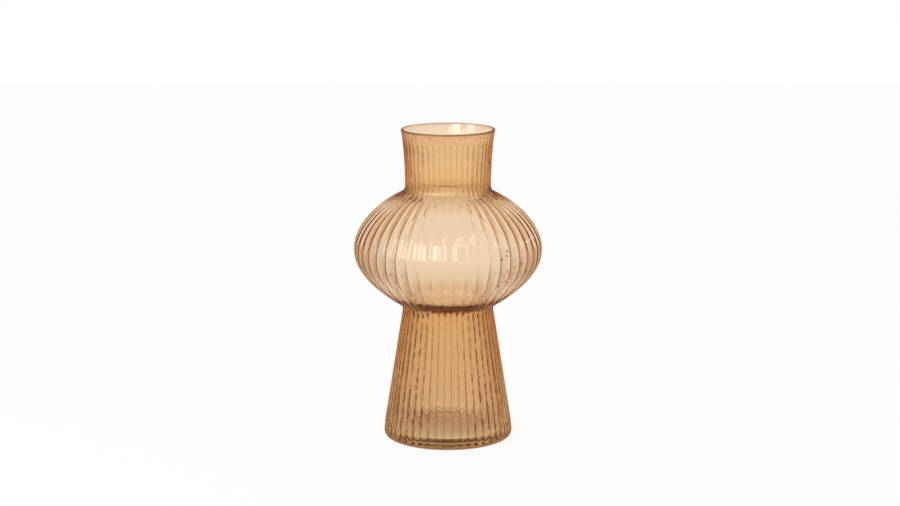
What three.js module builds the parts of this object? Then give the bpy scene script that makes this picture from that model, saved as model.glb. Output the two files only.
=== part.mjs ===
import * as THREE from "three";

// Tall ribbed vase of clear amber glass, mould-blown in one piece.
// Millimetres, +Z up. The vase stands on the plane Z = 0 with its axis on Z.
// Its glass is divided level into five zones: base, foot, bulb, neck and rim.

// Heights of the stretches between the two creases, the widest ring and the lip
const footHeight = 128.6; // table to the waist crease
const bulbLowerHeight = 55.4; // waist crease to the widest ring
const bulbUpperHeight = 56.8; // widest ring to the neck crease
const neckHeight = 53.2; // neck crease to the end of the ribs
const rimHeight = 6; // smooth band above the ribs

// Outer radii, on the crests of the ribs
const footRadius = 62.7;
const waistRadius = 43;
const bulbRadius = 90.5;
const neckRadius = 41.1;
const neckTopRadius = 43.9;
const lipRadius = 45.2;

// Glass
const wallStops = [
  // height above the table, thickness of the wall there
  [0, 3],
  [40, 2.8],
  [128.6, 4],
  [134, 4.2],
  [142, 2.5],
  [184, 2.3],
  [240, 2.4],
  [300, 2.6],
];
const lipThickness = 2.6;
const floorThickness = 11;
const puntDepth = 2; // hollow under the floor
const puntSlopeWidth = 6; // from the resting ring to the hollow's full depth
const restingRingWidth = 8;

// Rounding
const heelRadius = 5.8;
const floorFillet = 2; // inside, between floor and wall
const creaseRadius = 8; // outside, at the waist and under the neck

// Shape of the bulb: slopes at the creases, and how full its curve is
const waistSlope = THREE.MathUtils.degToRad(32.5);
const shoulderSlope = THREE.MathUtils.degToRad(26);
const creaseFullness = 0.6; // share of the bulb's width over which it keeps its slope
const beltFullness = 0.4; // share of the bulb's height over which it stays upright

// Ribs
const ribCount = 48;
const ribDepth = 1.2; // crest to valley
const ribFade = 5; // height over which they die out under the rim

// Steps
const facetsPerRib = 3;
const creaseSteps = 2;
const bulbSteps = 6; // on each side of the widest ring
const neckSteps = 3;
const roundSteps = 3; // heel and floor fillet
const lipSteps = 4;

const ribbedPoints = ribCount * facetsPerRib;
const smoothPoints = ribCount;

// Levels where one zone ends and the next begins
const waistLevel = footHeight;
const beltLevel = waistLevel + bulbLowerHeight;
const creaseLevel = beltLevel + bulbUpperHeight;
const ribsEndLevel = creaseLevel + neckHeight;
const lipLevel = ribsEndLevel + rimHeight;
const baseTopLevel = floorThickness + floorFillet;

// The straight side of the foot, from its heel to the waist crease
const heelPoint = new THREE.Vector2(footRadius, heelRadius);
const waistCorner = new THREE.Vector2(waistRadius, waistLevel);
const neckCorner = new THREE.Vector2(neckRadius, creaseLevel);
const footDirection = waistCorner.clone().sub(heelPoint).normalize();
const underBulb = new THREE.Vector2(Math.cos(waistSlope), Math.sin(waistSlope));
const shoulder = new THREE.Vector2(Math.cos(shoulderSlope), -Math.sin(shoulderSlope));
const upright = new THREE.Vector2(0, 1);

// Point of the foot's side at a level
function footSide(level) {
  const along = (level - heelPoint.y) / footDirection.y;
  return heelPoint.clone().addScaledVector(footDirection, along);
}

// How far from a corner its rounding starts, for the two directions that leave it
function roundingReach(first, second) {
  const opening = first.angleTo(second);
  return creaseRadius / Math.tan(opening / 2);
}

// Where a line that leaves a corner comes out of the rounding
function leave(corner, direction, reach) {
  return corner.clone().addScaledVector(direction, reach);
}

const waistReach = roundingReach(footDirection.clone().negate(), underBulb);
const neckReach = roundingReach(upright, shoulder);
const footTop = leave(waistCorner, footDirection, -waistReach);
const bulbStart = leave(waistCorner, underBulb, waistReach);
const bulbEnd = leave(neckCorner, shoulder, neckReach);
const neckStart = leave(neckCorner, upright, neckReach);

// One side of the bulb, as a curve from a crease to the widest ring
function bulbSide(start, direction, upDown, height) {
  const width = bulbRadius - start.x;
  const belt = new THREE.Vector2(bulbRadius, beltLevel);
  const nearCrease = start.clone().addScaledVector(direction, width * creaseFullness);
  const nearBelt = belt.clone().setY(beltLevel + upDown * height * beltFullness);
  return new THREE.CubicBezierCurve(start, nearCrease, nearBelt, belt);
}

// Outside of each zone from below, as points of radius and height
function footOutside() {
  return [footSide(baseTopLevel), footTop];
}

function bulbOutside() {
  const waistCrease = new THREE.QuadraticBezierCurve(footTop, waistCorner, bulbStart);
  const lower = bulbSide(bulbStart, underBulb, -1, bulbLowerHeight);
  const upper = bulbSide(bulbEnd, shoulder, 1, bulbUpperHeight);
  const neckCrease = new THREE.QuadraticBezierCurve(bulbEnd, neckCorner, neckStart);
  return [
    ...waistCrease.getPoints(creaseSteps),
    ...lower.getPoints(bulbSteps).slice(1),
    ...upper.getPoints(bulbSteps).reverse().slice(1),
    ...neckCrease.getPoints(creaseSteps).slice(1),
  ];
}

function neckOutside() {
  const flareStart = new THREE.Vector2(neckRadius, (neckStart.y + ribsEndLevel) / 2);
  const top = new THREE.Vector2(neckTopRadius, ribsEndLevel);
  const ribsFull = top.clone().setY(ribsEndLevel - ribFade);
  const flare = new THREE.QuadraticBezierCurve(neckStart, flareStart, ribsFull);
  return [...flare.getPoints(neckSteps), top];
}

// Thickness of the wall at a level, between the stops
function wallAt(level) {
  const above = Math.max(1, wallStops.findIndex(([height]) => height >= level));
  const [lowHeight, lowWall] = wallStops[above - 1];
  const [highHeight, highWall] = wallStops[above];
  return THREE.MathUtils.mapLinear(level, lowHeight, highHeight, lowWall, highWall);
}

// The inner face: the same points moved into the glass by the wall, square to the outside.
// The first and the last move level, so that zones meet on flat rings.
function insideOf(outside) {
  return outside.map((point, i) => {
    const wall = wallAt(point.y);
    if (i === 0 || i === outside.length - 1) {
      return new THREE.Vector2(point.x - wall, point.y);
    }
    const along = outside[i + 1].clone().sub(outside[i - 1]).normalize();
    return new THREE.Vector2(point.x - wall * along.y, point.y + wall * along.x);
  });
}

// A level ring of points. Between two valleys a rib bulges out as a shallow arch.
function ring(point, count, depth = 0) {
  const points = [];
  for (let i = 0; i < count; i += 1) {
    const acrossRib = (i % facetsPerRib) / facetsPerRib;
    const belowCrest = depth * (2 * acrossRib - 1) ** 2;
    const angle = (Math.PI / ribCount) + (2 * Math.PI * i) / count;
    const radius = point.x - belowCrest;
    points.push([radius * Math.cos(angle), radius * Math.sin(angle), point.y]);
  }
  return points;
}

// The ribs are at their full depth from above the heel to just under the rim
function depthAt(level) {
  return ribDepth * Math.min(1, level / heelRadius, (ribsEndLevel - level) / ribFade);
}

const ribbed = (point) => ring(point, ribbedPoints, depthAt(point.y));
const smooth = (point) => ring(point, smoothPoints);
const onAxis = (height) => ring(new THREE.Vector2(0, height), 1);

// A closed skin through rings that go up the outside and come back down the inside
function skin(rings) {
  const positions = rings.flat(2);
  const starts = [];
  let total = 0;
  for (const points of rings) {
    starts.push(total);
    total += points.length;
  }
  const triangles = [];
  for (let k = 0; k < rings.length; k += 1) {
    const next = (k + 1) % rings.length;
    band(rings[k].length, starts[k], rings[next].length, starts[next], triangles);
  }
  const geometry = new THREE.BufferGeometry();
  geometry.setAttribute("position", new THREE.Float32BufferAttribute(positions, 3));
  geometry.setIndex(triangles);
  geometry.computeVertexNormals();
  return geometry;
}

// Joins two rings, whose counts may differ, by stepping round whichever is behind
function band(countA, startA, countB, startB, triangles) {
  let a = 0;
  let b = 0;
  while (a < countA || b < countB) {
    const pointA = startA + (a % countA);
    const pointB = startB + (b % countB);
    const stepA = b >= countB || (a < countA && (a + 1) / countA <= (b + 1) / countB);
    if (stepA) {
      a += 1;
      if (countA > 1) {
        triangles.push(pointA, startA + (a % countA), pointB);
      }
    } else {
      b += 1;
      if (countB > 1) {
        triangles.push(pointA, startB + (b % countB), pointB);
      }
    }
  }
}

// Points of a quarter round from one angle to another
function round(centre, radius, from, to, steps) {
  const arc = new THREE.EllipseCurve(centre.x, centre.y, radius, radius, from, to, to < from);
  return arc.getPoints(steps);
}

function ribbedZone(outside) {
  const inside = insideOf(outside).reverse();
  return skin([...outside.map(ribbed), ...inside.map(smooth)]);
}

function baseZone() {
  const heelCentre = new THREE.Vector2(footRadius - heelRadius, heelRadius);
  const heel = round(heelCentre, heelRadius, -Math.PI / 2, 0, roundSteps);
  const top = footSide(baseTopLevel);
  const innerTop = new THREE.Vector2(top.x - wallAt(baseTopLevel), baseTopLevel);
  const filletCentre = new THREE.Vector2(innerTop.x - floorFillet, baseTopLevel);
  const fillet = round(filletCentre, floorFillet, 0, -Math.PI / 2, roundSteps);
  const ringInside = new THREE.Vector2(heelCentre.x - restingRingWidth, 0);
  const puntSlope = new THREE.Vector2(ringInside.x - puntSlopeWidth, puntDepth);
  return skin([
    onAxis(puntDepth),
    smooth(puntSlope),
    smooth(ringInside),
    ...heel.map(ribbed),
    ribbed(top),
    ...fillet.map(smooth),
    onAxis(floorThickness),
  ]);
}

function rimZone() {
  const start = new THREE.Vector2(neckTopRadius, ribsEndLevel);
  const lipCentre = new THREE.Vector2(lipRadius - lipThickness / 2, lipLevel - lipThickness / 2);
  const lip = round(lipCentre, lipThickness / 2, 0, Math.PI, lipSteps);
  const end = new THREE.Vector2(neckTopRadius - wallAt(ribsEndLevel), ribsEndLevel);
  return skin([start, ...lip, end].map((point) => ring(point, ribbedPoints)));
}

function amberGlass(colour) {
  return new THREE.MeshStandardMaterial({
    color: colour,
    roughness: 0.05,
    metalness: 0,
    transparent: true,
    opacity: 0.55,
  });
}

function zone(name, geometry, colour) {
  const mesh = new THREE.Mesh(geometry, amberGlass(colour));
  mesh.name = name;
  return mesh;
}

const vase = new THREE.Group();
vase.add(zone("base", baseZone(), 0xa7815c));
vase.add(zone("foot", ribbedZone(footOutside()), 0xbc956c));
vase.add(zone("bulb", ribbedZone(bulbOutside()), 0xe8cba3));
vase.add(zone("neck", ribbedZone(neckOutside()), 0xdcad7d));
vase.add(zone("rim", rimZone(), 0xe6bc8a));

export default vase;
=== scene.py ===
# %% [markdown]
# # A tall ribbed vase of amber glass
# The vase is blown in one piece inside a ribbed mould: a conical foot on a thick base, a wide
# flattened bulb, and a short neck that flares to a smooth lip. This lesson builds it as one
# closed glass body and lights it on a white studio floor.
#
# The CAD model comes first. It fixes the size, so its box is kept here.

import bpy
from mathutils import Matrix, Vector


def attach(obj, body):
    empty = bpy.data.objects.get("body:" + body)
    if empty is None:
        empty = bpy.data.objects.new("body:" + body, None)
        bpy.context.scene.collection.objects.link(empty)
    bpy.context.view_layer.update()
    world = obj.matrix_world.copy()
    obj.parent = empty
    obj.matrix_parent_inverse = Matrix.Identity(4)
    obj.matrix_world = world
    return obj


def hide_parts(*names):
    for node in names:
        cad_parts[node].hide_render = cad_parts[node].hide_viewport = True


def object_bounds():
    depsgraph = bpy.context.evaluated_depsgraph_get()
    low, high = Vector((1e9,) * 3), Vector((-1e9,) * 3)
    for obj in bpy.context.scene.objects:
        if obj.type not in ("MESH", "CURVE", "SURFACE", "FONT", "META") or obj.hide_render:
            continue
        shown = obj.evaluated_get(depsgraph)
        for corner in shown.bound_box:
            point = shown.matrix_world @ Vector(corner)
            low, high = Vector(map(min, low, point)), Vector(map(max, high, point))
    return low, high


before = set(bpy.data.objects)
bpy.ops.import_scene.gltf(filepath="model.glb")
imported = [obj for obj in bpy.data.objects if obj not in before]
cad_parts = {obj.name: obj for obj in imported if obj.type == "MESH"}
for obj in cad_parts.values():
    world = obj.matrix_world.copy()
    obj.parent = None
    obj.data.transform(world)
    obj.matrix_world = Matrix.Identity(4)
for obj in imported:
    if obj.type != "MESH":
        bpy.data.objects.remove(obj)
cad_low, cad_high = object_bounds()
print("CAD nodes:", ", ".join(sorted(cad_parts)))
print("CAD box in metres:", [round(side, 4) for side in cad_high - cad_low])

# %% [markdown]
# ## Measures
# Everything about the form is said once, in millimetres, and turned into metres by one factor.
# The heights are those of the two creases, the widest ring, the end of the ribs and the lip.
# The bulb's radius and the height of the lip are read from the CAD box, so they can't drift. The
# other sizes are those of the CAD part, because the glass takes the place of its solids.

# %% Measures of the vase
import math

import bmesh
import bpy
from mathutils import Matrix, Vector
from mathutils.geometry import interpolate_bezier

MM = 0.001
WAIST_LEVEL = 128.6
BELT_LEVEL = 184.0
NECK_LEVEL = 240.8
RIBS_END_LEVEL = 294.0
LIP_LEVEL = cad_high.z / MM

FOOT_RADIUS = 62.7
WAIST_RADIUS = 43.0
BULB_RADIUS = (cad_high.x - cad_low.x) / 2 / MM
NECK_RADIUS = 41.1
NECK_TOP_RADIUS = 43.9
LIP_RADIUS = 45.2
print("widest ring", round(2 * BULB_RADIUS, 2), "mm across, lip at", round(LIP_LEVEL, 2), "mm")

# %% [markdown]
# ## The outline of the outside
# A blown vase is round, so its form is one line in the plane of radius and height, turned about
# the axis. A lathe profile could be a polyline with a smoothing modifier, but that softens the
# two creases as much as the bulb. Here each stretch gets the curve that it has on the glass:
# a straight foot, a tight rounding at the waist, a full curve up to the widest ring and down
# again to the neck, another tight rounding, and a gentle flare.

# %% Curves of the outline
TOWARDS_CORNER = 2 / 3  # with its handles this far along, a Bezier curve is a plain parabola


def at(radius, height):
    """A point of the section, in metres."""
    return Vector((radius, 0, height)) * MM


def heading(angle):
    """A direction in the section, from the horizontal."""
    return Vector((math.cos(angle), 0, math.sin(angle)))


def rounding(start, corner, end, points):
    """A curve that leaves and reaches two straight lines where they head for one corner."""
    first_handle = start.lerp(corner, TOWARDS_CORNER)
    last_handle = end.lerp(corner, TOWARDS_CORNER)
    return interpolate_bezier(start, first_handle, last_handle, end, points)


print("the widest ring is at", [round(side, 4) for side in at(BULB_RADIUS, BELT_LEVEL)], "m")

# %% Where the straight stretches end
HEEL_ROUND = 5.8
CREASE_ROUND = 8.0
WAIST_SLOPE = math.radians(32.5)
SHOULDER_SLOPE = math.radians(-26)

up = Vector((0, 0, 1))
heel = at(FOOT_RADIUS, HEEL_ROUND)
waist = at(WAIST_RADIUS, WAIST_LEVEL)
neck = at(NECK_RADIUS, NECK_LEVEL)
foot_rise = (waist - heel).normalized()


def crease_reach(first, second):
    """How far from a crease its rounding starts, for the directions that leave it."""
    return CREASE_ROUND * MM / math.tan(first.angle(second) / 2)


waist_reach = crease_reach(-foot_rise, heading(WAIST_SLOPE))
neck_reach = crease_reach(up, heading(SHOULDER_SLOPE))
foot_top = waist - foot_rise * waist_reach
bulb_start = waist + heading(WAIST_SLOPE) * waist_reach
bulb_end = neck + heading(SHOULDER_SLOPE) * neck_reach
neck_start = neck + up * neck_reach
print("roundings reach", round(waist_reach / MM, 1), "and", round(neck_reach / MM, 1), "mm")

# %% The curve of the bulb
CREASE_FULLNESS = 0.6
BELT_FULLNESS = 0.4
BULB_POINTS = 17


def bulb_side(crease, slope, direction):
    """The bulb's curve from one crease to the widest ring. Direction is 1 below it, -1 above."""
    belt = at(BULB_RADIUS, BELT_LEVEL)
    width = belt.x - crease.x
    height = abs(belt.z - crease.z)
    near_crease = crease + heading(slope) * width * CREASE_FULLNESS
    near_belt = belt - Vector((0, 0, direction * height * BELT_FULLNESS))
    return interpolate_bezier(crease, near_crease, near_belt, belt, BULB_POINTS)


bulb_below = bulb_side(bulb_start, WAIST_SLOPE, 1)
bulb_above = bulb_side(bulb_end, SHOULDER_SLOPE, -1)
print("the bulb starts", round(bulb_start.z / MM, 1), "and ends", round(bulb_end.z / MM, 1), "mm up")

# %% The outside, from the heel to the end of the ribs
FOOT_POINTS = 10
CREASE_POINTS = 8
NECK_POINTS = 9

neck_top = at(NECK_TOP_RADIUS, RIBS_END_LEVEL)
flare = at(NECK_RADIUS, (neck_start.z / MM + RIBS_END_LEVEL) / 2)
ribbed_side = [heel.lerp(foot_top, i / FOOT_POINTS) for i in range(FOOT_POINTS)]
ribbed_side += rounding(foot_top, waist, bulb_start, CREASE_POINTS)
ribbed_side += bulb_below[1:]
ribbed_side += bulb_above[-2::-1]
ribbed_side += rounding(bulb_end, neck, neck_start, CREASE_POINTS)[1:]
ribbed_side += rounding(neck_start, flare, neck_top, NECK_POINTS)[1:]
print(len(ribbed_side), "points on the ribbed side")

# %% [markdown]
# ## The thickness of the glass
# Glass that is blown wide grows thin, and where the mould pinches it in, at the waist, it stays
# thick. A plain Solidify modifier gives one thickness all over. Instead the inside is the
# outside moved into the glass, square to it, by a thickness that changes with the height. Light
# bends at both faces, so the form of the wall between them shows in the render.

# %% The inside
FLOOR_LEVEL = 11.0
FLOOR_ROUND = 2.0
THICKNESS = [
    (0, 3.0), (40, 2.8), (WAIST_LEVEL, 4.0), (134, 4.2), (142, 2.5), (BELT_LEVEL, 2.3),
    (NECK_LEVEL, 2.4), (LIP_LEVEL, 2.6),
]


def thickness(level):
    """The wall at a height, with a soft change from stop to stop."""
    for (low, thin), (high, thick) in zip(THICKNESS, THICKNESS[1:]):
        if low <= level <= high:
            share = (level - low) / (high - low)
            return thin + (thick - thin) * share * share * (3 - 2 * share)
    return THICKNESS[-1][1]


def into_the_glass(points):
    """The same line, moved square to itself by the wall."""
    moved = []
    for before, here, after in zip(points, points[1:], points[2:]):
        along = (after - before).normalized()
        inwards = Vector((-along.z, 0, along.x))
        moved.append(here + inwards * thickness(here.z / MM) * MM)
    return moved


inside = [p for p in into_the_glass(ribbed_side) if p.z > (FLOOR_LEVEL + FLOOR_ROUND) * MM]
inside.reverse()
print("wall", [round(thickness(level), 1) for level in (20, 100, 130, 184, 242, 280)], "mm")

# %% [markdown]
# ## The section as a chain of points
# The section of the glass is drawn once, as a chain of edges from the hollow under the floor,
# over the heel, up the outside, over the lip and down the inside to the floor. The heel, the lip
# and the turn between floor and wall are round corners. Arcs could be worked out for them, but a
# vertex bevel makes each from a single corner, as on a sketch.

# %% Draw the section
PUNT = [(0, 2.0), (30, 1.9), (44, 1.2)]
RESTING_RING = 8.0
RING_BEVEL = (1.5, 0.25)
FLOOR_DOME = [(25, 0.6), (0, 1.0)]
LIP_THICKNESS = 2.6

section = bmesh.new()
rib_depth = section.verts.layers.float.new("rib_depth")
outer_face = section.verts.layers.float.new("outer_face")

ring_inside = FOOT_RADIUS - HEEL_ROUND - RESTING_RING
punt = [at(radius, level) for radius, level in PUNT]
punt.append(at(ring_inside - RING_BEVEL[0], RING_BEVEL[1]))
heel_corner = at(FOOT_RADIUS, 0)
lip_outside = at(LIP_RADIUS, LIP_LEVEL)
lip_inside = at(LIP_RADIUS - LIP_THICKNESS, LIP_LEVEL)
floor_corner = at(inside[-1].x / MM, FLOOR_LEVEL)
floor = [floor_corner] + [at(radius, FLOOR_LEVEL + rise) for radius, rise in FLOOR_DOME]

line = punt + [at(ring_inside, 0), heel_corner] + ribbed_side[1:]
line += [lip_outside, lip_inside] + inside + floor
chain = [section.verts.new(point) for point in line]
for here, after in zip(chain, chain[1:]):
    section.edges.new((here, after))
section.verts.ensure_lookup_table()
print(len(section.verts), "points and", len(section.edges), "edges in the section")

# %% Round its corners
ROUND_SEGMENTS = 6
LIP_ROUND = LIP_THICKNESS / 2 - 0.01  # a hair under half, so that the lip's two rounds stay apart


def round_corner(vertex, radius):
    """Rounds one square corner of the chain to a radius."""
    bmesh.ops.bevel(
        section, geom=[vertex], affect="VERTICES", offset_type="OFFSET", offset=radius * MM,
        segments=ROUND_SEGMENTS, profile=0.5, material=-1, clamp_overlap=False,
    )


to_round = {len(punt) + 1: HEEL_ROUND, line.index(floor_corner): FLOOR_ROUND}
to_round[line.index(lip_outside)] = LIP_ROUND
to_round[line.index(lip_inside)] = LIP_ROUND
for index, radius in to_round.items():
    round_corner(chain[index], radius)
print(len(section.verts), "points with the corners rounded")

# %% [markdown]
# ## How deep the ribs are
# The ribs show strongly on the bulb and softly on the foot and the neck, as glass that is blown
# wide is pressed deepest into its mould. So a rib is deepest at the widest ring. It grows out of
# the heel, and dies out under the smooth lip. Each point of the section carries the depth of its
# ribs, and also whether it lies on the outer face. The ribs are drawn into that face alone.

# %% Give the points their rib depth
RIB_DEPTH = 1.2
RIB_ONSET = 5.8
RIB_FADE = 5.0
SHALLOWEST = 0.2
DEEPENING = 1.5
FACE_WITHIN = 0.2


def outer_radius(level):
    """The outside's radius at a height, in metres, for telling outside from inside."""
    nearest = min(ribbed_side, key=lambda point: abs(point.z - level))
    return nearest.x


for vertex in section.verts:
    level = vertex.co.z / MM
    fade = max(0, min(1, level / RIB_ONSET, (RIBS_END_LEVEL - level) / RIB_FADE))
    if vertex.co.x > outer_radius(vertex.co.z) - FACE_WITHIN * MM or level < HEEL_ROUND:
        width = vertex.co.x / (BULB_RADIUS * MM)
        spread = SHALLOWEST + (1 - SHALLOWEST) * width ** DEEPENING
        vertex[rib_depth] = RIB_DEPTH * MM * fade * spread
        vertex[outer_face] = 1
depths = [vertex[rib_depth] / MM for vertex in section.verts]
print("ribs up to", round(max(depths), 2), "mm deep, on", sum(d > 0 for d in depths), "points")

# %% [markdown]
# ## One rib
# Forty-eight equal ribs run from the heel to the neck, so one is made and then repeated. Spin
# turns the chain by one rib's width. Cutting grooves with a boolean would leave hard edges, so
# the surface itself is drawn in: every point moves towards the axis by the rib depth that it
# carries, times how far the rib has come down there. On the bulb a rib is a flat arch that
# turns down steeply into a narrow valley. On the foot and the neck it is a soft wave.

# %% Spin one rib
RIB_COUNT = 48
STEPS_PER_RIB = 12
half_rib = math.pi / RIB_COUNT

bmesh.ops.rotate(section, verts=section.verts[:], matrix=Matrix.Rotation(-half_rib, 3, "Z"))
bmesh.ops.spin(
    section, geom=section.verts[:] + section.edges[:], cent=(0, 0, 0), axis=(0, 0, 1),
    angle=2 * half_rib, steps=STEPS_PER_RIB,
)
print("one rib:", len(section.verts), "points,", len(section.faces), "faces")

# %% [markdown]
# The points crowd towards the valleys, where the form turns most, so that twelve steps are
# enough. The nearness to a valley is kept as an attribute, for the painted shade in the valleys
# later.

# %% Shape the rib
ARCH_SHARE = 0.9
VALLEY_POWER = 14
CROWDING = 1.6
WAVE_UP_TO = 60.0
ARCH_FROM = 72.0
FULL_GROOVE = 0.5
groove = section.verts.layers.float.new("groove")


def come_down(from_crest, radius):
    """How far down a rib has come at a point, from 0 on its crest to 1 in the valley."""
    arch = ARCH_SHARE * from_crest ** 2 + (1 - ARCH_SHARE) * from_crest ** VALLEY_POWER
    wave = 0.5 - 0.5 * math.cos(math.pi * from_crest)
    sharp = max(0, min(1, (radius / MM - WAVE_UP_TO) / (ARCH_FROM - WAVE_UP_TO)))
    return wave + (arch - wave) * sharp


for vertex in section.verts:
    radius = math.hypot(vertex.co.x, vertex.co.y)
    on_axis = radius < MM
    if on_axis:
        continue
    turn = math.atan2(vertex.co.y, vertex.co.x) / half_rib
    from_crest = 1 - max(0, 1 - abs(turn)) ** CROWDING
    radius -= vertex[rib_depth] * come_down(from_crest, radius)
    turn = math.copysign(from_crest, turn) * half_rib
    vertex.co.x = radius * math.cos(turn)
    vertex.co.y = radius * math.sin(turn)
    depth_share = vertex[rib_depth] / (RIB_DEPTH * MM * FULL_GROOVE)
    vertex[groove] = from_crest * min(1, depth_share)
print("valley lines of full strength:", sum(vertex[groove] > 0.99 for vertex in section.verts), "points")

# %% [markdown]
# ## The whole body
# Spin also copies: it sets the finished rib forty-seven times more round the axis. The seams are
# merged, so that the glass is one closed skin. An open edge would make Cycles guess where the
# glass ends, so the open edges are counted.

# %% Repeat it round the axis
MERGE_WITHIN = 1e-6

bmesh.ops.spin(
    section, geom=section.verts[:] + section.edges[:] + section.faces[:], cent=(0, 0, 0),
    axis=(0, 0, 1), angle=2 * math.pi - 2 * half_rib, steps=RIB_COUNT - 1, use_duplicate=True,
)
bmesh.ops.remove_doubles(section, verts=section.verts[:], dist=MERGE_WITHIN)
bmesh.ops.recalc_face_normals(section, faces=section.faces[:])
open_edges = [edge for edge in section.edges if not edge.is_manifold]
print("open edges:", len(open_edges), " volume:", round(section.calc_volume() * 1e6), "ml of glass")

# %% Make the glass body
glass_mesh = bpy.data.meshes.new("vase_glass")
section.to_mesh(glass_mesh)
section.free()
glass_mesh.shade_smooth()
vase = bpy.data.objects.new("vase_glass", glass_mesh)
bpy.context.scene.collection.objects.link(vase)
triangles = sum(len(face.vertices) - 2 for face in glass_mesh.polygons)
print("vase_glass:", triangles, "triangles")

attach(vase, "root")
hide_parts("base", "foot", "bulb", "neck", "rim")

# %% [markdown]
# ## Shader sums as Python
# A material is a net of nodes, and sums of nodes are hard to read. This small class wraps one
# socket, so that `1 - groove` adds a Math node and reads like any other sum. Its `node` method
# adds every other kind: it takes the node's type, its settings, and what goes into its sockets.
# Three short methods take up what repeats: `rise` and `fall` are soft steps, and `towards` mixes
# a second colour in.


# %% A socket that can be added and multiplied
class Part:
    """One output of a node tree, with Python's signs for its maths."""

    def __init__(self, tree, socket=None):
        self.tree = tree
        self.socket = socket

    def node(self, kind, settings=None, sockets=None, out=0):
        made = self.tree.nodes.new("ShaderNode" + kind)
        for name, value in (settings or {}).items():
            if name == "stops":
                ramp = made.color_ramp.elements
                while len(ramp) < len(value):
                    ramp.new(1)
                for stop, (position, colour) in zip(ramp, value):
                    stop.position = position
                    stop.color = (*colour, 1)
            else:
                setattr(made, name, value)
        for name, value in (sockets or {}).items():
            if isinstance(value, Part):
                self.tree.links.new(value.socket, made.inputs[name])
            else:
                made.inputs[name].default_value = value
        return Part(self.tree, made.outputs[out] if made.outputs else None)

    def maths(self, operation, *values, clamp=False):
        settings = {"operation": operation, "use_clamp": clamp}
        return self.node("Math", settings, dict(enumerate(values)))

    def __add__(self, other):
        return self.maths("ADD", self, other)

    def __sub__(self, other):
        return self.maths("SUBTRACT", self, other)

    def __rsub__(self, other):
        return self.maths("SUBTRACT", other, self)

    def __mul__(self, other):
        return self.maths("MULTIPLY", self, other)

    def __truediv__(self, other):
        return self.maths("DIVIDE", self, other)

    def __pow__(self, other):
        return self.maths("POWER", self, other)

    def __rpow__(self, other):
        return self.maths("POWER", other, self)

    def __abs__(self):
        return self.maths("ABSOLUTE", self)

    def __gt__(self, other):
        return self.maths("GREATER_THAN", self, other)

    def __lt__(self, other):
        return self.maths("LESS_THAN", self, other)

    __radd__ = __add__
    __rmul__ = __mul__

    def clipped(self):
        """The same, kept between nought and one."""
        return self.maths("ADD", self, 0.0, clamp=True)

    def rise(self, start, slope):
        """Nought up to a start, and then up to one by a slope."""
        return ((self - start) * slope).clipped()

    def fall(self, end, slope):
        """Down to nought at an end, from one, by a slope."""
        return ((end - self) * slope).clipped()

    def towards(self, colour, share):
        """This colour with a share of another."""
        return self.node("Mix", {"data_type": "RGBA"}, {0: share, 6: self, 7: colour}, out=2)


def fresh_tree(owner):
    """Empties a material's or the world's node tree, to build it anew."""
    owner.use_nodes = True
    owner.node_tree.nodes.clear()
    return Part(owner.node_tree)


print("Part's own methods:", ", ".join(name for name in vars(Part) if not name.startswith("_")))

# %% [markdown]
# ## Amber glass
# The tint is deepest where the glass is thick: in the base and the foot, less in the neck, and
# least in the bulb, which was blown widest. Absorption inside the glass could give all of it, but
# the thin wall changes too little for that. So a ramp over the height tints the skin, and a
# plain absorption deepens the long ways through the base. Two dark stops of the ramp are painted
# shade: a band at the neck crease, and the very top, which draws the fire-polished lip as a thin
# brown line.

# %% The colour of the glass
TINT_AND_SHADE_BY_HEIGHT = [
    (0.0085, (0.81, 0.69, 0.53)),
    (0.012, (0.71, 0.58, 0.40)),
    (0.03, (0.77, 0.635, 0.445)),
    (0.04, (0.90, 0.77, 0.58)),
    (0.06, (0.862, 0.68, 0.477)),
    (0.36, (0.892, 0.675, 0.433)),
    (0.432, (0.892, 0.645, 0.41)),
    (0.45, (0.85, 0.685, 0.495)),
    (0.515, (0.98, 0.87, 0.735)),
    (0.76, (0.98, 0.845, 0.685)),
    # painted shade: a dark band on the neck crease
    (0.80, (0.74, 0.55, 0.34)),
    (0.825, (0.96, 0.74, 0.458)),
    (0.86, (0.975, 0.78, 0.54)),
    (0.955, (0.975, 0.785, 0.54)),
    (0.992, (0.91, 0.69, 0.50)),
    # painted shade: the thin dark line of the lip
    (1.00, (0.30, 0.15, 0.10)),
]

amber = bpy.data.materials.new("amber_glass")
mix = fresh_tree(amber)
place = mix.node("TexCoord", out="Object")
height = mix.node("SeparateXYZ", {}, {"Vector": place}, out="Z") / (LIP_LEVEL * MM)
tint = mix.node("ValToRGB", {"stops": TINT_AND_SHADE_BY_HEIGHT}, {"Fac": height})
print(len(TINT_AND_SHADE_BY_HEIGHT), "tints from the table to the lip")

# %% [markdown]
# Where the wall turns away from the eye, light takes a longer way through it, and the colour is
# deeper. Layer Weight says how far the face turns away, and Gamma is the right sum for a longer
# way: twice the way squares the colour. The foot and the neck have more lines and more colour at
# their sides than the thin bulb, and a second ramp, `lines`, says how much at each height. There
# the deeper colour is partly the longer way, and partly painted shade for the dark edges that
# bent light draws at their sides.

# %% Deeper colour at the sides, partly painted shade
LINES_BY_HEIGHT = [
    (0.00, 0.3), (0.03, 0.1), (0.06, 0.4), (0.42, 0.4), (0.46, 0.0), (0.80, 0.0), (0.83, 0.1),
    (0.96, 0.1), (0.98, 0.0),
]
SLANT_GAIN = -0.1
SIDE_SHADE_GAIN = 1.2

greys = [(level, (amount, amount, amount)) for level, amount in LINES_BY_HEIGHT]
lines = mix.node("ValToRGB", {"stops": greys}, {"Fac": height})
slant = mix.node("LayerWeight", {}, {"Blend": 0.5}, out="Facing")
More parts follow.
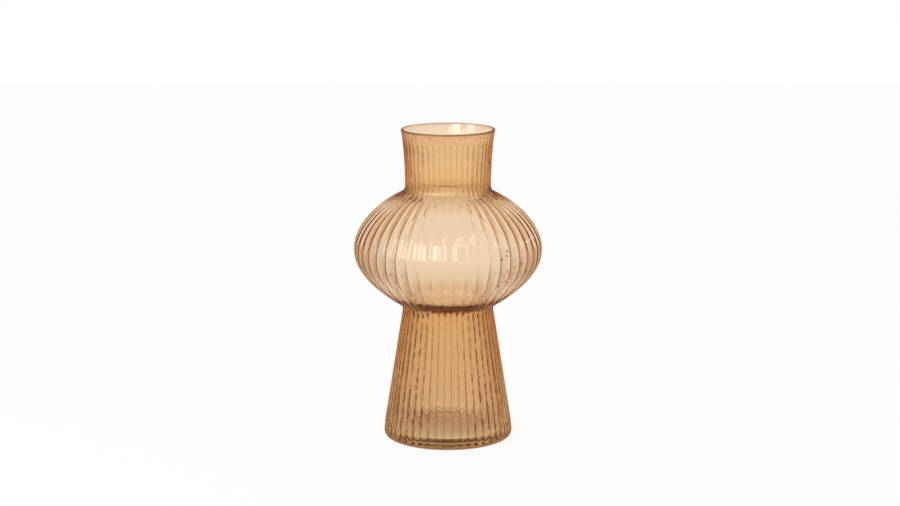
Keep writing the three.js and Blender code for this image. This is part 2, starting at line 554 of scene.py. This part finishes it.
# the longer way through the glass, plus painted shade at the sides of the foot and the neck
longer_way_and_side_shade = 1 + slant * (SLANT_GAIN + lines * SIDE_SHADE_GAIN)
tint = mix.node("Gamma", {}, {"Color": tint, "Gamma": longer_way_and_side_shade})
print("most lines at", max(LINES_BY_HEIGHT, key=lambda stop: stop[1])[0], "of the height")

# %% [markdown]
# ## Lines in the valleys
# Light that enters a rib near its valley runs along inside the wall, and comes out brown. On the
# foot and the neck this draws a soft stripe in each valley, and broken brown dashes towards the
# sides. A path tracer finds only a part of this light, so the valleys get painted shade as well.
# The `groove` attribute says where they are, and a noise that is stretched upright breaks them.

# %% Painted shade in the valleys
VALLEY_SHADE = (0.26, 0.12, 0.055, 1)
VALLEY_WIDTH = 0.6
VALLEY_SIDE = 0.8
SIDE_LINES = 18.0
SIDE_START = 0.04
STRIPES = 0.23
STRIPES_SLOPE = 10.0
DASH = (300.0, 300.0, 170.0)
BROKEN = 5.0
DASH_GAIN = 1.6

nearness = mix.node("Attribute", {"attribute_name": "groove"}, out="Fac")
valley = nearness.rise(1 - VALLEY_WIDTH, 1 / (VALLEY_WIDTH * VALLEY_SIDE))
grain = mix.node("VectorMath", {"operation": "MULTIPLY"}, {0: place, 1: DASH})
grain = mix.node("TexNoise", {}, {"Vector": grain, "Scale": 1.0, "Detail": 1.0})
dashes = ((grain - 0.5) * BROKEN + 0.5).clipped() * DASH_GAIN
stripes = (lines * STRIPES_SLOPE).clipped() * STRIPES
side_lines = (lines * dashes * (slant - SIDE_START) * SIDE_LINES).clipped()
# painted shade: brown stripes and dashes in the valleys
tint = tint.towards(VALLEY_SHADE, valley ** 2 * (stripes + side_lines).clipped())
print("a valley's tint is", round(VALLEY_WIDTH / 2 * 100), "% of a rib wide on each side")

# %% [markdown]
# On the bulb the valleys are narrow, and the light they bend draws one thin brown line in each,
# clear at the sides and gone in the middle, where the eye looks straight through. The line is
# painted as shade over the soft one that the glass draws itself. Each pair below says where a
# soft step starts or ends, and how steep it is.

# %% Thin lines on the bulb
LINE_SHADE = (0.22, 0.09, 0.03, 1)
LINE_EDGE = (0.67, 12.5)
LINE_SIDES = (0.28, 6.0)
BULB_MIDDLE = 0.655
BULB_ENDS = (0.135, 16.0)

on_bulb = abs(height - BULB_MIDDLE).fall(*BULB_ENDS)
# where the thin line of painted shade lies
thin = nearness.rise(*LINE_EDGE) * slant.rise(*LINE_SIDES) * on_bulb
tint = tint.towards(LINE_SHADE, thin)
print("thin lines up to", round((BULB_MIDDLE + BULB_ENDS[0]) * LIP_LEVEL), "mm")

# %% [markdown]
# ## The brown ring over the waist
# Just over the waist the wall is a thick wedge that catches light and lets little of it out. It
# is the darkest place of the vase: a brown ring, whose edge runs out in streaks along the
# valleys. The glass draws a part of this shade, and the rest is painted. It is painted where the
# wall slants, so the back of the vase doesn't double it, and round the sides only its streaks
# are left.

# %% Paint the ring's shade
RING_SHADE = (0.12, 0.02, 0.01, 1)
RING_LEVEL = 136.5
RING_HALF = 4.6
RING_EDGE = 1.5
RING_RAGGED = 0.8
RING_STREAK = 16.0
RING_SLANT = (0.40, 8.0)
STREAK_SLANT = (0.62, 8.0)
STREAKS_ONLY = (0.72, 12.0)

level = height * LIP_LEVEL
in_valley = nearness ** 2
streaks = in_valley * slant.rise(*STREAK_SLANT) * RING_STREAK
ring_reach = RING_HALF + (streaks + RING_RAGGED) * dashes
ring = abs(level - RING_LEVEL).fall(ring_reach, 1 / RING_EDGE) * slant.rise(*RING_SLANT)
ring = ring * (1 - slant.rise(*STREAKS_ONLY) * (1 - in_valley))
print("ring from", RING_LEVEL - RING_HALF, "to", RING_LEVEL + RING_HALF, "mm")

# %% [markdown]
# Under the waist and at the foot of the neck the valleys bend sharply, and the light in each bend
# draws a short dark hook, painted here as shade. The hooks take the ring's painted colour, and the
# darker of the two counts.

# %% Hooks in the valleys beside the creases
HOOKS = [
    {"middle": 126.0, "half": 4.0, "slants": (0.2, 8.0), "gain": 3.0},
    {"middle": 241.0, "half": 7.0, "slants": (0.43, 8.0), "gain": 4.0},
]


def hooks(middle, half, slants, gain):
    """Painted shade: short dark streaks in the valleys round one level."""
    near_crease = abs(level - middle).fall(half, 1 / half)
    return (in_valley * slant.rise(*slants) * near_crease * dashes * gain).clipped()


for crease_hooks in HOOKS:
    ring = mix.maths("MAXIMUM", ring, hooks(**crease_hooks))
tint = tint.towards(RING_SHADE, ring)
print("hooks at", [crease_hooks["middle"] for crease_hooks in HOOKS], "mm")

# %% [markdown]
# ## Seeds
# Seeds are small bubbles of air in blown glass. They could be hollows in the mesh, but each
# covers two or three pixels at most, and a speck of colour shows the same. The cells of a Voronoi
# texture scatter them, in two round patches at the lower left and right of the bulb. The places
# and sizes of the patches are in metres.

# %% Scatter the seeds
SEED_SPACING = 6.0
SEED_SIZE = 0.18
SEED_TINT = (0.33, 0.19, 0.11, 1)
SEED_PATCHES = [((0.061, -0.064, 0.176), 0.022), ((-0.052, -0.066, 0.162), 0.024)]


def in_patch(centre, size):
    """One within a round patch, and nought outside it."""
    ends = {0: place, 1: centre}
    return mix.node("VectorMath", {"operation": "DISTANCE"}, ends, out=1) < size


cells = {"Vector": place, "Scale": 1 / (SEED_SPACING * MM), "Randomness": 1.0}
seeds = mix.node("TexVoronoi", {}, cells, out="Distance") < SEED_SIZE
right_patch, left_patch = [in_patch(centre, size) for centre, size in SEED_PATCHES]
tint = tint.towards(SEED_TINT, seeds * (right_patch + left_patch))
print("a seed is up to", round(2 * SEED_SIZE * SEED_SPACING, 1), "mm across")

# %% [markdown]
# ## Only the outer face carries the tint and the painted shade
# A ray that passes the wall meets two faces, and would be tinted at both. On the inner face, a
# few millimetres off, the painted ring and the borders between tints would show a second time, a
# little shifted. So all the tint and painted shade is set on the outer face, twice as deep, and the
# inner face stays clear. On the lip this leaves the inner half pale: its front edge carries the
# painted dark line, its back edge is light.

# %% Tint and shade the outer face only
FACES_PASSED = 2

on_outer_face = mix.node("Attribute", {"attribute_name": "outer_face"}, out="Fac")
tint = mix.node("Gamma", {}, {"Color": tint, "Gamma": on_outer_face * FACES_PASSED})
print(len(amber.node_tree.nodes), "nodes for the tint")

# %% [markdown]
# ## The surface
# Blown glass is smooth but never quite even: the mould and the cooling leave faint waves, longer
# upright than across, and the foot has more of them. They are too shallow to model, so a bump
# bends the light. The underside is a little rough, as tables wear it.

# %% Waviness
WAVE_ACROSS = 5.0
WAVE_ALONG = 20.0
WAVINESS = 0.08
CALM = 0.4
LIVELY = 2.0
WORN_UP_TO = (0.009, 200.0)
WORN_ROUGHNESS = 0.1

waves = (1 / (WAVE_ACROSS * MM), 1 / (WAVE_ACROSS * MM), 1 / (WAVE_ALONG * MM))
waves = mix.node("VectorMath", {"operation": "MULTIPLY"}, {0: place, 1: waves})
waves = {"Vector": waves, "Scale": 1.0, "Detail": 2.0, "Roughness": 0.5}
uneven = mix.node("TexNoise", {}, waves) * (CALM + lines * LIVELY)
bump = mix.node("Bump", {}, {"Strength": WAVINESS, "Distance": MM, "Height": uneven})
roughness = height.fall(*WORN_UP_TO) * WORN_ROUGHNESS
print("waves", WAVE_ACROSS, "by", WAVE_ALONG, "mm")

# %% [markdown]
# Principled with full transmission is glass: it mirrors more at a slant and bends light by its
# index, 1.5 for common glass. A shadow ray can't find its way through bent glass, and the shadow
# would come out black, so to such rays the glass is a plain pale filter. The absorption fills
# the body between the two faces.

# %% The glass itself
GLASS_INDEX = 1.5
SHADOW_FILTER = (0.97, 0.90, 0.80, 1)
BODY_COLOUR = (0.90, 0.78, 0.62, 1)
BODY_DENSITY = 5.0

glass = mix.node("BsdfPrincipled", {}, {
    "Base Color": tint, "Roughness": roughness, "IOR": GLASS_INDEX, "Transmission Weight": 1.0,
    "Normal": bump,
})
shadow_light = mix.node("BsdfTransparent", {}, {"Color": SHADOW_FILTER})
is_shadow = mix.node("LightPath", out="Is Shadow Ray")
surface = mix.node("MixShader", {}, {0: is_shadow, 1: glass, 2: shadow_light})
absorbed = mix.node("VolumeAbsorption", {}, {"Color": BODY_COLOUR, "Density": BODY_DENSITY})
mix.node("OutputMaterial", {}, {"Surface": surface, "Volume": absorbed})
glass_mesh.materials.append(amber)
print(len(amber.node_tree.nodes), "nodes in all")

# %% [markdown]
# ## A white studio
# The vase stands on a plain white floor in front of a white background. Clear glass has no colour
# of its own to light: it shows what is behind it and around it. A photographer could hang dark
# cloths beside it, so that its edges draw themselves. Here the room is plain white on all sides,
# so that the vase looks alike from every side, and the edges get their colour in another way.
#
# Light that stays inside the wall and turns there several times passes the tinted skin each
# time. The ray's depth counts the turns: four faces lie on the way straight through the vase, and
# two on the way over the rim and through one wall. The room looks deeper in colour to a ray that
# has turned more. The high sky and the floor close by stay clear: rays from the two creases end
# there, and would draw dark lines that the photograph doesn't have. What the outer face mirrors
# is dim and brown, so that no grey veil lies over the amber.

# %% The light of the room
ONE_WALL = 2
STRAIGHT_THROUGH = 4
MOST_TURNS = 3
FLOOR_TURNS = 0.8
TURNED_BACK = 1.5
SKIN = (0.58, 0.37, 0.21)
DIM_ROOM = (0.36, 0.16, 0.09)
CLEAR_SKY = (0.78, 4.0)
CLEAR_FLOOR = (0.2, 1 / 0.15)
ROOM_ON_THE_FLOOR = 0.85


def sky_turns(part, turns):
    """The turns that count in the sky: fewer the higher a ray looks."""
    direction = part.node("TexCoord", out="Generated")
    height = part.node("SeparateXYZ", {}, {"Vector": direction}, out="Z")
    return part.maths("MINIMUM", turns * height.fall(*CLEAR_SKY), MOST_TURNS)


def floor_turns(part, turns):
    """The turns that count on the floor: none close to the vase."""
    spot = part.node("TexCoord", out="Object")
    away = part.node("VectorMath", {"operation": "LENGTH"}, {0: spot}, out=1)
    return part.maths("MINIMUM", turns * away.rise(*CLEAR_FLOOR), FLOOR_TURNS)


def room_light(part, turns_that_count):
    """Colour and strength of the room to a ray."""
    is_diffuse = part.node("LightPath", out="Is Diffuse Ray")
    is_glossy = part.node("LightPath", out="Is Glossy Ray")
    is_mirrored = is_glossy * (1 - part.node("LightPath", out="Is Transmission Ray"))
    depth = part.node("LightPath", out="Ray Depth")
    turned_back = (depth < STRAIGHT_THROUGH) * TURNED_BACK
    turns = (abs(depth - STRAIGHT_THROUGH) + turned_back) * (depth > ONE_WALL)
    turns = turns_that_count(part, turns)
    channels = {}
    for i, (skin, dim) in enumerate(zip(SKIN, DIM_ROOM)):
        channels[i] = (1 - is_mirrored * (1 - dim)) * skin ** turns
    strength = 1 - is_diffuse * (1 - ROOM_ON_THE_FLOOR)
    return part.node("CombineColor", {}, channels), strength


world = bpy.data.worlds.new("studio")
bpy.context.scene.world = world
room = fresh_tree(world)
colour, strength = room_light(room, sky_turns)
sky = room.node("Background", {}, {"Color": colour, "Strength": strength})
room.node("OutputWorld", {}, {"Surface": sky})
print("the most turns leave", [round(skin ** MOST_TURNS, 2) for skin in SKIN], "of its light")

# %% [markdown]
# ## The floor
# A sheet of white paper would need strong, even light to come out as white as the background.
# Instead the floor glows as the background does, and only a part of it answers the lamps, which
# leaves a faint shadow round the base. It lies a hair under the vase, so that glass and paper
# share no face.

# %% Lay the floor
FLOOR_HALF = 3.0
FLOOR_GAP = 0.0003

floor_shape = bmesh.new()
bmesh.ops.create_grid(floor_shape, x_segments=1, y_segments=1, size=FLOOR_HALF)
bmesh.ops.translate(floor_shape, verts=floor_shape.verts[:], vec=(0, 0, -FLOOR_GAP))
floor_mesh = bpy.data.meshes.new("studio_floor")
floor_shape.to_mesh(floor_mesh)
floor_shape.free()
studio_floor = bpy.data.objects.new("studio_floor", floor_mesh)
bpy.context.scene.collection.objects.link(studio_floor)
print("floor", 2 * FLOOR_HALF, "m square")

# %% The white of the floor
GLOW = 0.848
PAPER = (0.9, 0.9, 0.9, 1)

white = bpy.data.materials.new("white_floor")
paper = fresh_tree(white)
colour, strength = room_light(paper, floor_turns)
glow = paper.node("Emission", {}, {"Color": colour, "Strength": strength})
matt = paper.node("BsdfDiffuse", {}, {"Color": PAPER})
mixed = paper.node("MixShader", {}, {0: GLOW, 1: matt, 2: glow})
paper.node("OutputMaterial", {}, {"Surface": mixed})
floor_mesh.materials.append(white)
print("the floor glows by", GLOW, "and answers the lamps by", round(1 - GLOW, 3))

# %% [markdown]
# ## Lamps
# The row of pale windows across the bulb is a softbox at the front left, mirrored once in every
# rib, and a second one carries the row round to the left. Pictures of windows could be painted
# on, but they would not wander over the ribs when the vase is turned. The softboxes end above
# the table, so the lower half of the bulb mirrors none. A small lamp at the right gives the
# sparkle on the other side. The camera doesn't see the lamps themselves.

# %% Place the lamps
LAMP_DISTANCE = 2.0


def softbox(name, azimuth, low, high, width, power):
    """A tall lamp that faces the vase. Azimuth counts from the front, to the right."""
    lamp = bpy.data.lights.new(name, "AREA")
    lamp.shape = "RECTANGLE"
    lamp.size = width
    lamp.size_y = high - low
    lamp.energy = power
    turn = math.radians(azimuth)
    spot = Vector((math.sin(turn), -math.cos(turn), 0)) * LAMP_DISTANCE
    spot.z = (low + high) / 2
    placed = bpy.data.objects.new(name, lamp)
    placed.location = spot
    placed.rotation_euler = (Vector((0, 0, spot.z)) - spot).to_track_quat("-Z", "Y").to_euler()
    placed.visible_camera = False
    bpy.context.scene.collection.objects.link(placed)


softbox("front_left_softbox", azimuth=-22, low=0.36, high=2.0, width=0.9, power=19)
softbox("left_softbox", azimuth=-62, low=0.36, high=2.0, width=0.6, power=10)
softbox("right_lamp", azimuth=98, low=0.78, high=0.92, width=0.14, power=1.0)
print([lamp.name for lamp in bpy.data.lights])

# %% [markdown]
# ## Camera
# The photograph looks slightly down, from nearly two metres away. The ovals of the rim and of
# the foot say how near the camera stands and how high. The lens and the small shift were found
# by laying the outline of the glass over the photograph.

# %% Place the camera
SENSOR = 36.0
FOCAL_PIXELS = 2068.6
PHOTO_WIDTH = 900
CENTRE_SHIFT = 2
CAMERA_PLACE = (0, -1.95, 0.5637)
AIM_HEIGHT = 0.1796

lens = bpy.data.cameras.new("camera")
lens.sensor_width = SENSOR
lens.lens = FOCAL_PIXELS / PHOTO_WIDTH * SENSOR
lens.shift_x = CENTRE_SHIFT / PHOTO_WIDTH
camera = bpy.data.objects.new("camera", lens)
camera.location = CAMERA_PLACE
aim = Vector((0, 0, AIM_HEIGHT)) - camera.location
camera.rotation_euler = aim.to_track_quat("-Z", "Y").to_euler()
bpy.context.scene.collection.objects.link(camera)
bpy.context.scene.camera = camera
print("looks down by", round(math.degrees(math.asin(-aim.normalized().z)), 1), "degrees")

# %% [markdown]
# ## Finish
# Light turns many times inside ribbed glass, and a path that is cut short comes out black, so
# the paths may be long.

MOST_BOUNCES = 32

scene = bpy.context.scene
scene.view_settings.view_transform = "Standard"
scene.cycles.max_bounces = MOST_BOUNCES
scene.cycles.transmission_bounces = MOST_BOUNCES
scene.cycles.glossy_bounces = MOST_BOUNCES
scene.cycles.transparent_max_bounces = MOST_BOUNCES
